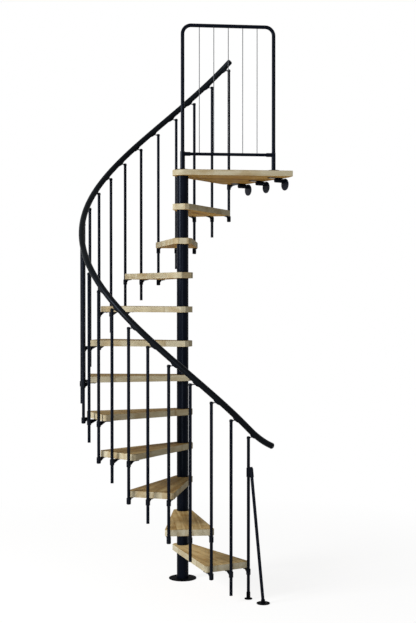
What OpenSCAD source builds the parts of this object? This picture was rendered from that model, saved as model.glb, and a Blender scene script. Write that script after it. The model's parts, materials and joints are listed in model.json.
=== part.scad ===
// Spiral staircase kit: wooden treads clamped between spacer tubes on a centre pole,
// a corner landing, rod balusters in edge brackets, a helical handrail and a landing railing.
// Origin: the centre pole's axis at the floor. +Z is up, +Y is the side that the landing turns to.
// The stair climbs clockwise as seen from above. Balusters are numbered in half steps from the first.

/* [Stair] */
// Height of one rise
riser_h = 230; // [200:1:280]
// Turn from one tread to the next
tread_turn = 22.5; // [20:0.05:24]
// Direction of the first baluster, seen from above
start_angle = -52.3; // [-90:1:-20]
// Radius of the circle that the balusters stand on
baluster_circle_r = 677; // [570:1:840]

/* [Treads] */
// Thickness of the treads and of the landing
tread_t = 40; // [32:1:48]
// Gap from the baluster circle in to the treads' outer edge
edge_inset = 40; // [32:1:50]
// How far a tread's outer corner reaches past the baluster beside it
corner_overhang = 24; // [20:1:30]
// Distance from the pole's axis to a tread's narrow end
hub_reach = 57; // [50:1:70]
// Width of a tread's narrow end
hub_w = 112; // [100:1:130]
// Cut across each corner of the narrow end
hub_cut = 20; // [10:1:28]
// Radius of the outer corners
corner_r = 18; // [8:1:24]

/* [Landing] */
// Distance from the pole's axis to the edge under the railing, square to that edge
landing_side_inset = 62; // [50:1:70]
// Direction of that edge, seen from above
landing_side_angle = 6; // [4:0.5:10]
// Distance from the pole's axis to the outer edge, square to that edge
landing_reach = 677; // [640:1:900]
// Direction that the outer edge faces
landing_outer_angle = 29.7; // [26:0.1:34]
// Direction of the far edge, which passes the last baluster
landing_back_angle = 9.5; // [4:0.5:14]
// Distance from the last baluster's axis in to the far edge
landing_back_gap = 15; // [12:1:24]
// Length cut from the edge under the railing at the tip
tip_cut_side = 21; // [10:1:30]
// Length cut from the outer edge at the tip
tip_cut_outer = 86; // [40:1:110]

/* [Column] */
// Diameter of the spacer tubes
spacer_d = 79; // [70:1:90]
// Diameter of the pole inside them
pole_d = 48; // [40:1:56]
// Diameter of the base plate
base_d = 186; // [160:1:230]
// Thickness of the base plate
base_t = 5; // [4:1:12]
// Diameter of the circle of floor bolts
base_bolt_circle_d = 150; // [120:1:150]
// Diameter of a floor bolt hole
base_bolt_hole_d = 12; // [8:1:14]

/* [Balusters] */
// Diameter of a baluster
rod_d = 20; // [14:1:22]
// Height of the baluster tops above the tread whose front corner they pass
baluster_h = 797; // [700:1:1000]
// How far a middle baluster hangs below its tread's top
middle_drop = 190; // [120:1:215]
// Diameter of the knob on a baluster's top
knob_d = 23; // [20:1:30]
// Height of that knob
knob_h = 16; // [12:1:20]

/* [Brackets] */
// Diameter of a bracket's socket
socket_d = 28; // [25:1:34]
// Height of a bracket's socket
socket_h = 36; // [28:1:44]
// Width of a bracket's arm
arm_w = 16; // [10:1:20]
// Length of a bracket's pad under the tread
pad_reach = 56; // [40:1:70]
// Width of that pad
pad_w = 30; // [24:1:40]
// Thickness of that pad
pad_t = 5; // [3:1:8]

/* [Handrail] */
// Diameter of the handrail
rail_d = 40; // [32:1:48]
// Height of the handrail's centre line above the baluster tops
rail_lift = 48; // [44:1:60]
// Plan length of handrail past the first baluster
rail_tail = 195; // [120:1:220]
// Slope of the handrail's lower end, which bends towards the level
rail_tail_slope = 22; // [15:1:38]
// Plan length of handrail past the last baluster
rail_head = 4; // [0:1:60]
// Length of a saddle under the handrail
saddle_l = 56; // [44:1:90]
// Thickness of a saddle at its middle
saddle_t = 6; // [4:1:10]

/* [Landing railing] */
// Height of the railing above the landing
railing_h = 987; // [800:1:1100]
// Distance between the railing's two posts
railing_span = 621; // [500:1:650]
// Direction of the railing, seen from above
railing_angle = 5; // [2:0.1:6]
// Diameter of the bent tube
hoop_d = 25; // [20:1:30]
// Radius of its bends, to the tube's centre line
hoop_bend_r = 58; // [45:1:80]
// Diameter of the sleeve at the foot of the post over the pole
inner_sleeve_d = 33; // [28:1:38]
// Diameter of the sleeve at the foot of the other post
outer_sleeve_d = 28; // [27:1:38]
// Height of the crossbar's centre line above the landing
crossbar_h = 109; // [80:1:150]
// Diameter of the crossbar
crossbar_d = 21; // [16:1:24]
// Number of upright wires
wire_count = 5; // [3:1:7]
// Diameter of a wire
wire_d = 5; // [4:1:8]
// Distance from one wire to the next
wire_pitch = 98.5; // [60:0.5:104]

/* [Brace and anchors] */
// How far the brace's foot stands out from the first baluster
brace_reach = 140; // [80:1:180]
// Height of the clamp that joins the brace to the first baluster
brace_clamp_z = 800; // [500:1:850]
// Diameter of the brace's floor disc
brace_disc_d = 83; // [60:1:100]
// Diameter of a wall anchor's bar
anchor_d = 28; // [20:1:32]
// Distance from the landing's outer edge to the wall
anchor_reach = 10; // [8:1:60]
// Diameter of a wall anchor's disc
anchor_disc_d = 82; // [76:1:100]
// Distance between wall anchors
anchor_pitch = 232; // [140:1:236]

/* [Hidden] */
$fn = 64;

// Counts
tread_count = 11;
last_baluster = 2 * tread_count;
anchor_count = 3;
base_bolt_count = 4;

// Clearances
fit_gap = 0.25;
rail_gap = 0.4;

// Stair geometry: a tread's top is at its number times the rise
half_turn = tread_turn / 2;
half_rise = riser_h / 2;
landing_z = (tread_count + 1) * riser_h;
tread_reach = baluster_circle_r - edge_inset;
outer_half = baluster_circle_r * sin(half_turn) + corner_overhang;
corner_rod_u = baluster_circle_r * cos(half_turn);
corner_rod_v = baluster_circle_r * sin(half_turn);
arc_steps = 8;

// Angle of the middle of tread n, and of baluster k
function tread_angle(n) = start_angle - half_turn * (2 * n - 1);
function baluster_angle(k) = start_angle - half_turn * k;
function baluster_top(k) = riser_h + baluster_h + half_rise * k;

// Plane helpers
function unit(v) = v / norm(v);
function polar(r, angle) = [r * cos(angle), r * sin(angle)];
function short_way(a) = a > 180 ? a - 360 : a < -180 ? a + 360 : a;
// The corner b between a and c, as an arc of radius r
function arc_corner(a, b, c, r) =
    let (ua = unit(a - b), uc = unit(c - b), half = acos(ua * uc) / 2,
         centre = b + unit(ua + uc) * r / sin(half),
         from = b + ua * r / tan(half) - centre, to = b + uc * r / tan(half) - centre,
         start = atan2(from[1], from[0]), sweep = short_way(atan2(to[1], to[0]) - start))
    [for (i = [0 : arc_steps]) centre + polar(r, start + sweep * i / arc_steps)];
// The corner b between a and c, cut straight at distance d from it
function cut_corner(a, b, c, d) = [b + unit(a - b) * d, b + unit(c - b) * d];
// Where the line through p along u meets the line through q along v
function crossing(p, u, q, v) =
    let (w = q - p, t = (w[0] * v[1] - w[1] * v[0]) / (u[0] * v[1] - u[1] * v[0])) p + u * t;

// ---- Column ----

// Floor plate with a bolt circle; its spigot centres the pole
module base_plate() {
    color("#1b1d22")
    difference() {
        cylinder(d = base_d, h = base_t);
        for (i = [0 : base_bolt_count - 1])
            rotate(45 + 360 / base_bolt_count * i) translate([base_bolt_circle_d / 2, 0, -1])
                cylinder(d = base_bolt_hole_d, h = base_t + 2);
    }
}

// Pole that all treads and spacers are threaded on; it stands on the base plate
module centre_pole() {
    color("#3a3d44") translate([0, 0, base_t]) cylinder(d = pole_d, h = landing_z - base_t);
}

// Spacer tubes: the first stands on the base plate, each other one on a tread
module spacer_tubes() {
    color("#1b1d22")
    for (n = [1 : tread_count + 1]) {
        low = n == 1 ? base_t : (n - 1) * riser_h;
        translate([0, 0, low]) difference() {
            cylinder(d = spacer_d, h = n * riser_h - tread_t - low);
            translate([0, 0, -1]) cylinder(d = pole_d + 2 * fit_gap, h = riser_h);
        }
    }
}

// Bore for the pole through a board that starts at z = 0
module pole_bore() {
    translate([0, 0, -1]) cylinder(d = pole_d + 2 * fit_gap, h = tread_t + 2);
}

// ---- Treads and landing ----

// Outline of a tread: x runs outwards along its middle line
function tread_outline() =
    let (hub_half = hub_w / 2,
         inner_low = [-hub_reach, -hub_half], inner_high = [-hub_reach, hub_half],
         outer_low = [tread_reach, -outer_half], outer_high = [tread_reach, outer_half])
    concat(cut_corner(inner_high, inner_low, outer_low, hub_cut),
           arc_corner(inner_low, outer_low, outer_high, corner_r),
           arc_corner(outer_low, outer_high, inner_high, corner_r),
           cut_corner(outer_high, inner_high, inner_low, hub_cut));

// Tread n, with its top n rises above the floor
module tread(n) {
    color("#c9ad84")
    translate([0, 0, n * riser_h - tread_t]) difference() {
        rotate(tread_angle(n)) linear_extrude(tread_t) polygon(tread_outline());
        pole_bore();
    }
}

// Landing: its front edge is a tread's. The side edge runs under the railing to the tip,
// the outer edge back from the tip, and the far edge past the last baluster.
landing_turn = tread_angle(tread_count + 1);
function landing_place(u, v) = polar(u, landing_turn) + polar(v, landing_turn + 90);
landing_hub = landing_place(-hub_reach, hub_w / 2);
front_dir = unit(landing_place(tread_reach, outer_half) - landing_hub);
side_point = polar(landing_side_inset, landing_side_angle - 90);
side_dir = polar(1, landing_side_angle);
outer_point = polar(landing_reach, landing_outer_angle);
outer_dir = polar(1, landing_outer_angle + 90);
back_dir = polar(1, landing_back_angle);
back_point = polar(baluster_circle_r, baluster_angle(last_baluster))
    + polar(landing_back_gap, landing_back_angle - 90);
landing_near = crossing(side_point, side_dir, landing_hub, polar(1, landing_turn + 90));
landing_tip = crossing(side_point, side_dir, outer_point, outer_dir);
landing_back = crossing(outer_point, outer_dir, back_point, back_dir);
landing_front = crossing(landing_hub, front_dir, back_point, back_dir);

function landing_outline() =
    concat(cut_corner(landing_hub, landing_near, landing_tip, hub_cut * 1.5),
           [landing_tip - side_dir * tip_cut_side, landing_tip + outer_dir * tip_cut_outer],
           arc_corner(landing_tip, landing_back, landing_front, corner_r),
           arc_corner(landing_back, landing_front, landing_hub, corner_r),
           cut_corner(landing_front, landing_hub, landing_near, hub_cut));

module landing() {
    color("#c9ad84")
    translate([0, 0, landing_z - tread_t]) difference() {
        linear_extrude(tread_t) polygon(landing_outline());
        pole_bore();
    }
}

// ---- Edge brackets ----

// Side profile of a bracket's arm: a curved gusset from the pad down to the socket.
// x runs outwards from the baluster's axis, and y = 0 is the tread's underside.
function arm_profile(edge_gap) =
    let (inner = -edge_gap - pad_reach / 2, outer = -socket_d / 2 + 3, low = -socket_h + 4)
    concat([[0, 0], [inner, 0], [inner, -pad_t]],
           [for (i = [1 : arc_steps]) let (t = 90 * i / arc_steps)
               [inner + (outer - inner) * sin(t), -pad_t + (low + pad_t) * (1 - cos(t))]],
           [[0, low]]);

// Bracket round a baluster: its origin is where the baluster meets the underside's level.
// edge_gap is how far the tread's edge lies inwards of the baluster.
module edge_bracket(edge_gap, closed = false) {
    dome_h = closed ? 5 : 0;
    difference() {
        union() {
            translate([0, 0, -socket_h]) cylinder(d = socket_d, h = socket_h);
            if (closed) translate([0, 0, -socket_h - dome_h])
                cylinder(d1 = socket_d * 0.6, d2 = socket_d, h = dome_h);
            translate([0, arm_w / 2, 0]) rotate([90, 0, 0])
                linear_extrude(arm_w) polygon(arm_profile(edge_gap));
            translate([-edge_gap - pad_reach, -pad_w / 2, -pad_t]) cube([pad_reach, pad_w, pad_t]);
        }
        translate([0, 0, closed ? -socket_h : -socket_h - 1])
            cylinder(d = rod_d + 2 * fit_gap, h = socket_h + 2);
    }
}

corner_gap = corner_rod_u - tread_reach;

// Direction in which the landing's bracket faces outwards, and its gap to the far edge
landing_bracket_turn = 150;
landing_bracket_gap = 2 * landing_back_gap;

// Brackets at the front corners of the treads, and one turned in under the landing's far edge
module front_brackets() {
    color("#1b1d22") {
        for (n = [1 : tread_count])
            translate([0, 0, n * riser_h - tread_t]) rotate(tread_angle(n))
                translate([corner_rod_u, corner_rod_v, 0]) edge_bracket(corner_gap);
        translate([0, 0, landing_z - tread_t]) rotate(baluster_angle(last_baluster))
            translate([baluster_circle_r, 0, 0])
                rotate(landing_bracket_turn - baluster_angle(last_baluster))
                    edge_bracket(landing_bracket_gap);
    }
}

// Brackets at the middle of the treads' outer edges
module middle_brackets() {
    color("#1b1d22")
    for (n = [1 : tread_count])
        translate([0, 0, n * riser_h - tread_t]) rotate(tread_angle(n))
            translate([baluster_circle_r, 0, 0]) edge_bracket(edge_inset);
}

// Brackets at the back corners, closed below: the baluster from above ends in them
module back_brackets() {
    color("#1b1d22")
    for (n = [1 : tread_count])
        translate([0, 0, n * riser_h - tread_t]) rotate(tread_angle(n))
            translate([corner_rod_u, -corner_rod_v, 0]) edge_bracket(corner_gap, closed = true);
}

// ---- Balusters ----

// Rod k from z = low up into its knob
module baluster(k, low) {
    high = baluster_top(k) - knob_h / 2;
    rotate(baluster_angle(k)) translate([baluster_circle_r, 0, low])
        cylinder(d = rod_d, h = high - low);
}

foot_disc_d = 50;
foot_disc_t = 5;
foot_sleeve_d = 25;
foot_h = 45;

module first_baluster() {
    color("#1b1d22") baluster(0, foot_disc_t);
}

// Floor disc with a sleeve that the first baluster stands in
module first_baluster_foot() {
    color("#1b1d22")
    rotate(baluster_angle(0)) translate([baluster_circle_r, 0, 0]) difference() {
        union() {
            cylinder(d = foot_disc_d, h = foot_disc_t);
            cylinder(d = foot_sleeve_d, h = foot_h);
        }
        translate([0, 0, foot_disc_t]) cylinder(d = rod_d + 2 * fit_gap, h = foot_h);
    }
}

// Corner balusters pass a tread's front bracket and end in the back bracket one tread lower
module corner_balusters() {
    color("#1b1d22")
    for (n = [1 : tread_count]) baluster(2 * n, n * riser_h - tread_t - socket_h);
}

// Middle balusters pass their tread's middle bracket and hang below it
module middle_balusters() {
    color("#1b1d22")
    for (n = [1 : tread_count]) baluster(2 * n - 1, n * riser_h - middle_drop);
}

// ---- Handrail ----

rail_sides = 24;
rail_rings_per_step = 4;
rail_radius = baluster_circle_r;
// Rise per millimetre of plan length, and the slope
plan_step = rail_radius * half_turn * PI / 180;
rail_slope = atan(half_rise / plan_step);

// How fast the slope falls off past the first baluster, per millimetre of plan length
tail_bend = (tan(rail_slope) - tan(rail_tail_slope)) / rail_tail;
// Plan length past the first baluster at half step k, and the slope there
function tail_plan(k) = k < 0 ? -k * plan_step : 0;
function slope_at(k) = atan(tan(rail_slope) - tail_bend * tail_plan(k));

// Centre line at half step k: a helix, then past the first baluster a bend towards the level
function rail_point(k) =
    let (along = tail_plan(k), a = baluster_angle(max(k, 0)),
         plan = polar(rail_radius, a) + polar(along, a + 90))
    [plan[0], plan[1], baluster_top(k) + rail_lift + tail_bend * along * along / 2];
// Outward direction, and the direction of travel up the stair, at half step k
function rail_out(k) = let (a = baluster_angle(max(k, 0))) [cos(a), sin(a), 0];
function rail_up(k) =
    let (a = baluster_angle(max(k, 0)) - 90, slope = slope_at(k))
    [cos(a) * cos(slope), sin(a) * cos(slope), sin(slope)];
function rail_ring(k, d) =
    let (c = rail_point(k), u = rail_out(k), w = cross(rail_up(k), u))
    [for (i = [0 : rail_sides - 1])
        let (t = 360 * i / rail_sides) c + (u * cos(t) + w * sin(t)) * d / 2];

// Length of handrail between half steps from and to, as one closed tube
module rail_length(from, to, d = rail_d) {
    rings = max(1, round((to - from) * rail_rings_per_step));
    points = [for (i = [0 : rings]) each rail_ring(from + (to - from) * i / rings, d)];
    sides = [for (i = [0 : rings - 1], j = [0 : rail_sides - 1])
        let (a = i * rail_sides + j, b = i * rail_sides + (j + 1) % rail_sides)
        each [[a, b, b + rail_sides], [a, b + rail_sides, a + rail_sides]]];
    last = rings * rail_sides;
    ends = [[for (j = [rail_sides - 1 : -1 : 0]) j], [for (j = [0 : rail_sides - 1]) last + j]];
    polyhedron(points, concat(sides, ends), convexity = 10);
}

// Half steps at which the handrail starts, is joined and ends
rail_from = -rail_tail / plan_step;
rail_to = last_baluster + rail_head / plan_step;
rail_joints = [rail_from, 5.5, 11, 16.5, rail_to];

module handrail(i) {
    color("#23262b") rail_length(rail_joints[i - 1], rail_joints[i]);
}

cap_lip = 3;
cap_dome = 9;
// Domed caps on the handrail's two ends
module handrail_caps() {
    color("#1b1d22")
    for (end = [[rail_from, -1], [rail_to, 1]]) {
        p = rail_point(end[0]);
        up = rail_up(end[0]);
        translate(p) rotate([0, acos(up[2]), atan2(up[1], up[0])])
            mirror([0, 0, end[1] < 0 ? 1 : 0]) {
                cylinder(d = rail_d, h = cap_lip);
                translate([0, 0, cap_lip]) cylinder(d1 = rail_d, d2 = rail_d * 0.55, h = cap_dome);
            }
    }
}

// Bracket from baluster k's knob to a saddle under the handrail, on the down-slope side
knob_socket_h = knob_h / 2;
pin_d = 6;
// Plan distance from a baluster to the middle of its saddle
saddle_plan = (rail_lift - rail_d / 2 / cos(rail_slope)) / tan(rail_slope)
    + saddle_l / 2 * cos(rail_slope);
saddle_w = 24;
// Radius of the saddle's lower face along the rail, which leaves 1 mm at each end
saddle_bow_r = (pow(saddle_l / 2, 2) / (saddle_t - 1) + (saddle_t - 1)) / 2;

module saddle(k) {
    at = k - saddle_plan / plan_step;
    up = rail_up(at);
    translate(rail_point(at)) rotate([0, acos(up[2]), atan2(up[1], up[0])])
        intersection() {
            // Here z runs along the rail and x points to its underside
            translate([rail_d / 2 + saddle_t - saddle_bow_r, saddle_w / 2, 0]) rotate([90, 0, 0])
                cylinder(r = saddle_bow_r, h = saddle_w);
            translate([rail_d / 2 - 5, -saddle_w / 2, -saddle_l / 2])
                cube([saddle_t + 5, saddle_w, saddle_l]);
        }
}

module handrail_bracket(k) {
    top = baluster_top(k);
    at = k - saddle_plan / plan_step;
    up = rail_up(at);
    difference() {
        union() {
            rotate(baluster_angle(k)) translate([baluster_circle_r, 0, top - knob_h]) {
                cylinder(d = knob_d, h = knob_h * 0.6);
                translate([0, 0, knob_h * 0.6]) cylinder(d1 = knob_d, d2 = knob_d * 0.6, h = knob_h * 0.4);
                translate([0, 0, knob_h / 2]) rotate([-90, 0, 0])
                    cylinder(d = pin_d, h = saddle_plan);
            }
            saddle(k);
        }
        // Room for the handrail, for the baluster's end, and above the pin's end
        translate(rail_point(at)) rotate([0, acos(up[2]), atan2(up[1], up[0])])
            cylinder(d = rail_d + 2 * rail_gap, h = 4 * saddle_l, center = true);
        rotate(baluster_angle(k)) translate([baluster_circle_r, 0, top - knob_h - 1])
            cylinder(d = rod_d + 2 * fit_gap, h = knob_socket_h + 1);
    }
}

module handrail_brackets() {
    color("#1b1d22") for (k = [0 : last_baluster]) handrail_bracket(k);
}

// ---- Brace beside the first baluster ----

// Plan distance from baluster to brace at the clamp, and the brace's ends
brace_offset = 29;
brace_disc_t = 6;
brace_collar_d = 26;
brace_collar_h = 20;
clamp_h = 57;
clamp_wall = 3;
brace_low = [baluster_circle_r + brace_reach, 0, brace_disc_t];
brace_mid = [baluster_circle_r + brace_offset, 0, brace_clamp_z];
brace_run = norm(brace_mid - brace_low);
brace_tilt = atan((brace_low[0] - brace_mid[0]) / (brace_mid[2] - brace_low[2]));
brace_l = brace_run + clamp_h / 2 + 8;

// Places its children on the brace's axis, with z up along it
module on_brace() {
    rotate(baluster_angle(0)) translate(brace_low) rotate([0, -brace_tilt, 0]) children();
}

module brace_rod() {
    // The foot of the leaning rod is cut level, on the disc
    color("#1b1d22")
    difference() {
        on_brace() translate([0, 0, -rod_d]) cylinder(d = rod_d, h = brace_l + rod_d);
        rotate(baluster_angle(0)) translate([0, -rod_d, brace_disc_t - 2 * rod_d])
            cube([2 * brace_low[0], 2 * rod_d, 2 * rod_d]);
    }
}

module brace_foot() {
    color("#1b1d22")
    difference() {
        union() {
            rotate(baluster_angle(0)) translate([brace_low[0], 0, 0])
                cylinder(d = brace_disc_d, h = brace_disc_t);
            difference() {
                on_brace() translate([0, 0, -rod_d])
                    cylinder(d = brace_collar_d, h = brace_collar_h + rod_d);
                rotate(baluster_angle(0)) translate([0, -rod_d, brace_disc_t / 2 - 3 * rod_d])
                    cube([2 * brace_low[0], 2 * rod_d, 3 * rod_d]);
            }
        }
        // Seat of the rod, level with the disc's top
        difference() {
            on_brace() translate([0, 0, -rod_d]) cylinder(d = rod_d + 2 * fit_gap, h = brace_l);
            rotate(baluster_angle(0)) translate([0, -rod_d, brace_disc_t - 3 * rod_d])
                cube([2 * brace_low[0], 2 * rod_d, 3 * rod_d]);
        }
    }
}

// Double clamp: one bore upright round the baluster, one leaning with the brace
module brace_clamp() {
    ring_d = rod_d + 2 * clamp_wall;
    color("#1b1d22")
    difference() {
        union() {
            rotate(baluster_angle(0)) translate([baluster_circle_r, 0, brace_clamp_z - clamp_h / 2]) {
                cylinder(d = ring_d, h = clamp_h);
                translate([0, -ring_d * 0.3, 0]) cube([brace_offset, ring_d * 0.6, clamp_h]);
            }
            on_brace() translate([0, 0, brace_run - clamp_h / 2]) cylinder(d = ring_d, h = clamp_h);
        }
        rotate(baluster_angle(0)) translate([baluster_circle_r, 0, brace_clamp_z - clamp_h])
            cylinder(d = rod_d + 2 * fit_gap, h = 2 * clamp_h);
        on_brace() translate([0, 0, brace_run - clamp_h])
            cylinder(d = rod_d + 2 * fit_gap, h = 2 * clamp_h);
    }
}

// ---- Landing railing: x runs along it from the pole's axis ----

flange_d = 80;
flange_t = 5;
sleeve_ds = [inner_sleeve_d, outer_sleeve_d];
socket_l = 36;
socket_wall = 3;

module on_railing() {
    rotate(railing_angle) children();
}

// Bent tube: two posts and a top bar joined by quarter bends
module railing_hoop() {
    top = landing_z + railing_h - hoop_d / 2;
    post_h = top - hoop_bend_r - landing_z - flange_t;
    color("#1b1d22")
    on_railing() {
        for (x = [0, railing_span])
            translate([x, 0, landing_z + flange_t]) cylinder(d = hoop_d, h = post_h);
        translate([hoop_bend_r, 0, top]) rotate([0, 90, 0])
            cylinder(d = hoop_d, h = railing_span - 2 * hoop_bend_r);
        translate([hoop_bend_r, 0, top - hoop_bend_r]) rotate([90, 0, 0]) rotate(90)
            rotate_extrude(angle = 90) translate([hoop_bend_r, 0]) circle(d = hoop_d);
        translate([railing_span - hoop_bend_r, 0, top - hoop_bend_r]) rotate([90, 0, 0])
            rotate_extrude(angle = 90) translate([hoop_bend_r, 0]) circle(d = hoop_d);
    }
}

// Sleeves round the posts, from the flanges up past the crossbar
module railing_sleeves() {
    h = crossbar_h + crossbar_d / 2 + 6 - flange_t;
    color("#1b1d22")
    on_railing() for (side = [0, 1])
        translate([side * railing_span, 0, landing_z + flange_t]) difference() {
            cylinder(d = sleeve_ds[side], h = h);
            translate([0, 0, -1]) cylinder(d = hoop_d + 2 * fit_gap, h = h + 2);
        }
}

// Discs that carry the posts on the landing
module railing_flanges() {
    color("#1b1d22")
    on_railing() for (x = [0, railing_span])
        translate([x, 0, landing_z]) cylinder(d = flange_d, h = flange_t);
}

// Crossbar between the sleeves
module railing_crossbar() {
    color("#1b1d22")
    on_railing() translate([inner_sleeve_d / 2 + fit_gap, 0, landing_z + crossbar_h]) rotate([0, 90, 0])
        cylinder(d = crossbar_d,
                 h = railing_span - inner_sleeve_d / 2 - outer_sleeve_d / 2 - 2 * fit_gap);
}

// Sockets that hold the crossbar's ends, saddled on the sleeves
module railing_sockets() {
    color("#1b1d22")
    on_railing() for (side = [0, 1])
        translate([side * railing_span, 0, landing_z + crossbar_h]) mirror([side, 0, 0]) difference() {
            rotate([0, 90, 0])
                cylinder(d = crossbar_d + 2 * socket_wall, h = sleeve_ds[side] / 2 + socket_l);
            translate([0, 0, -sleeve_ds[side]])
                cylinder(d = sleeve_ds[side] + 2 * fit_gap, h = 2 * sleeve_ds[side]);
            rotate([0, 90, 0])
                cylinder(d = crossbar_d + 2 * fit_gap, h = sleeve_ds[side] + socket_l);
        }
}

// Upright wires between the crossbar and the top bar, centred between the posts
module railing_wires() {
    low = landing_z + crossbar_h + crossbar_d / 2;
    high = landing_z + railing_h - hoop_d;
    start = (railing_span - (wire_count - 1) * wire_pitch) / 2;
    color("#8d9197")
    on_railing() for (i = [0 : wire_count - 1])
        translate([start + i * wire_pitch, 0, low]) cylinder(d = wire_d, h = high - low);
}

// ---- Wall anchors: x runs outwards from the landing's outer edge ----

anchor_plate_w = 36;
anchor_plate_t = 4;
// How far inside the edge the plates begin and end, and the bars begin
anchor_plate_start = 130;
anchor_plate_end = 20;
anchor_bar_start = 76;
anchor_disc_t = 7;
anchor_disc_drop = 24;
// How far the middle anchor stands, along the edge, from the edge's nearest point to the pole
anchor_shift = 8;

// Places its children at each anchor, on the outer edge at the landing's underside
module at_anchors() {
    for (i = [0 : anchor_count - 1])
        translate([0, 0, landing_z - tread_t]) rotate(landing_outer_angle)
            translate([landing_reach, anchor_shift + (i - 1) * anchor_pitch, 0]) children();
}

// Plate screwed under the landing
module anchor_plates() {
    color("#1b1d22")
    at_anchors() translate([-anchor_plate_start, -anchor_plate_w / 2, -anchor_plate_t])
        cube([anchor_plate_start - anchor_plate_end, anchor_plate_w, anchor_plate_t]);
}

// Round bar welded under the plate
module anchor_bars() {
    color("#1b1d22")
    at_anchors() translate([-anchor_bar_start, 0, -anchor_plate_t - anchor_d / 2]) rotate([0, 90, 0])
        cylinder(d = anchor_d, h = anchor_bar_start + anchor_reach - anchor_disc_t);
}

// Disc that is bolted to the wall or to the floor's edge
module anchor_discs() {
    color("#1b1d22")
    at_anchors()
        translate([anchor_reach - anchor_disc_t, 0, -anchor_plate_t - anchor_d / 2 - anchor_disc_drop])
            rotate([0, 90, 0]) cylinder(d = anchor_disc_d, h = anchor_disc_t);
}

base_plate();
centre_pole();
spacer_tubes();
tread(1);  // tread_01
tread(2);  // tread_02
tread(3);  // tread_03
tread(4);  // tread_04
tread(5);  // tread_05
tread(6);  // tread_06
tread(7);  // tread_07
tread(8);  // tread_08
tread(9);  // tread_09
tread(10);  // tread_10
tread(11);  // tread_11
landing();
front_brackets();
middle_brackets();
back_brackets();
first_baluster();
first_baluster_foot();
corner_balusters();
middle_balusters();
brace_rod();
brace_clamp();
brace_foot();
handrail_brackets();
handrail(1);  // handrail_1
handrail(2);  // handrail_2
handrail(3);  // handrail_3
handrail(4);  // handrail_4
handrail_caps();
railing_hoop();
railing_sleeves();
railing_flanges();
railing_crossbar();
railing_sockets();
railing_wires();
anchor_plates();
anchor_bars();
anchor_discs();
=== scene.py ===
# %% [markdown]
# # A spiral staircase kit
# Wooden treads and a landing are clamped between steel tubes on a centre pole. Rod balusters stand in
# brackets at the treads' outer edges and carry a helical handrail, and a bent tube with upright wires
# guards the landing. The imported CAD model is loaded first. Its nodes stay where they are: they get
# finishes, or a finer piece takes a node's place.

# %% Load the frame
import json
import math

import bpy
from mathutils import Matrix, Vector


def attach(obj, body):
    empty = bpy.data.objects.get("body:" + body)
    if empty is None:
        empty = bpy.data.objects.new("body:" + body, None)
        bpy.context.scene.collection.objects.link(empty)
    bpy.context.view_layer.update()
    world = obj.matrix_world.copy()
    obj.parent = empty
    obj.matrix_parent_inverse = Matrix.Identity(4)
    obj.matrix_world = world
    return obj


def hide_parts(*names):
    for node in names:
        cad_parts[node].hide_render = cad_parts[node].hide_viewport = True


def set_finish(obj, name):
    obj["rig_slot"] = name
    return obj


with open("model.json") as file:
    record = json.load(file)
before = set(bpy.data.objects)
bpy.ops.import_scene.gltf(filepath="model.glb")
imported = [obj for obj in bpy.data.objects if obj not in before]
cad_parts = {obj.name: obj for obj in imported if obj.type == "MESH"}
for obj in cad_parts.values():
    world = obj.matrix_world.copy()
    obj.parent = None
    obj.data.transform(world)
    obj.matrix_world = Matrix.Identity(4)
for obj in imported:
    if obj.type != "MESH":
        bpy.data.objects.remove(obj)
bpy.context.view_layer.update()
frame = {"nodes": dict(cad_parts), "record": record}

# %% [markdown]
# ## Camera
# The stair is seen from the front at eye level, from far enough away that its uprights stay upright.
# The camera looks a little to the right of the pole and a little down.

# %% Camera
eye = Vector((0.0, -7.587, 1.8975))
look_down, look_right = 0.693, 1.2947
cam_data = bpy.data.cameras.new("eye_level")
cam_data.sensor_width, cam_data.lens = 36, 64.90
camera = bpy.data.objects.new("eye_level", cam_data)
bpy.context.scene.collection.objects.link(camera)
camera.location = eye
camera.rotation_euler = (math.radians(90 - look_down), 0, math.radians(-look_right))
bpy.context.scene.camera = camera
bpy.context.scene.view_settings.view_transform = "Standard"
print("lens:", cam_data.lens)

# %% [markdown]
# ## Helpers for work by hand
# An operator acts on all that is selected, so each step starts by picking one piece. Faces are marked in
# code, by a test on their place or normal, and then edit mode is opened on them.

# %% Pick a piece, mark its faces
def pick(*pieces):
    """Selects these pieces and nothing else. The first one is active."""
    if bpy.context.object and bpy.context.object.mode != "OBJECT":
        bpy.ops.object.mode_set(mode="OBJECT")
    bpy.ops.object.select_all(action="DESELECT")
    for piece in pieces:
        piece.select_set(True)
    bpy.context.view_layer.objects.active = pieces[0]
    return pieces[0]


def mark(piece, test):
    """Opens a piece in edit mode with only the faces that pass the test selected."""
    pick(piece)
    bpy.ops.object.mode_set(mode="EDIT")
    bpy.ops.mesh.select_mode(type="FACE")
    bpy.ops.mesh.select_all(action="DESELECT")
    bpy.ops.object.mode_set(mode="OBJECT")
    for face in piece.data.polygons:
        face.select = test(face)
    bpy.ops.object.mode_set(mode="EDIT")


def leave():
    """Goes back from edit mode to object mode."""
    bpy.ops.object.mode_set(mode="OBJECT")


# %% [markdown]
# A new primitive is named and placed at once. Its size goes into the mesh, so every finished piece sits
# at the origin, unturned and unscaled, like the CAD nodes.

# %% Add, set down, copy and join pieces
def added(name):
    """Names the primitive that was just added, and puts its place into its mesh."""
    piece = bpy.context.object
    piece.name = piece.data.name = name
    bpy.ops.object.transform_apply(location=True, rotation=True, scale=True)
    return piece


def clear_picks():
    """Selects nothing, so that the next primitive is the only piece picked."""
    if bpy.context.object and bpy.context.object.mode != "OBJECT":
        bpy.ops.object.mode_set(mode="OBJECT")
    bpy.ops.object.select_all(action="DESELECT")


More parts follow.
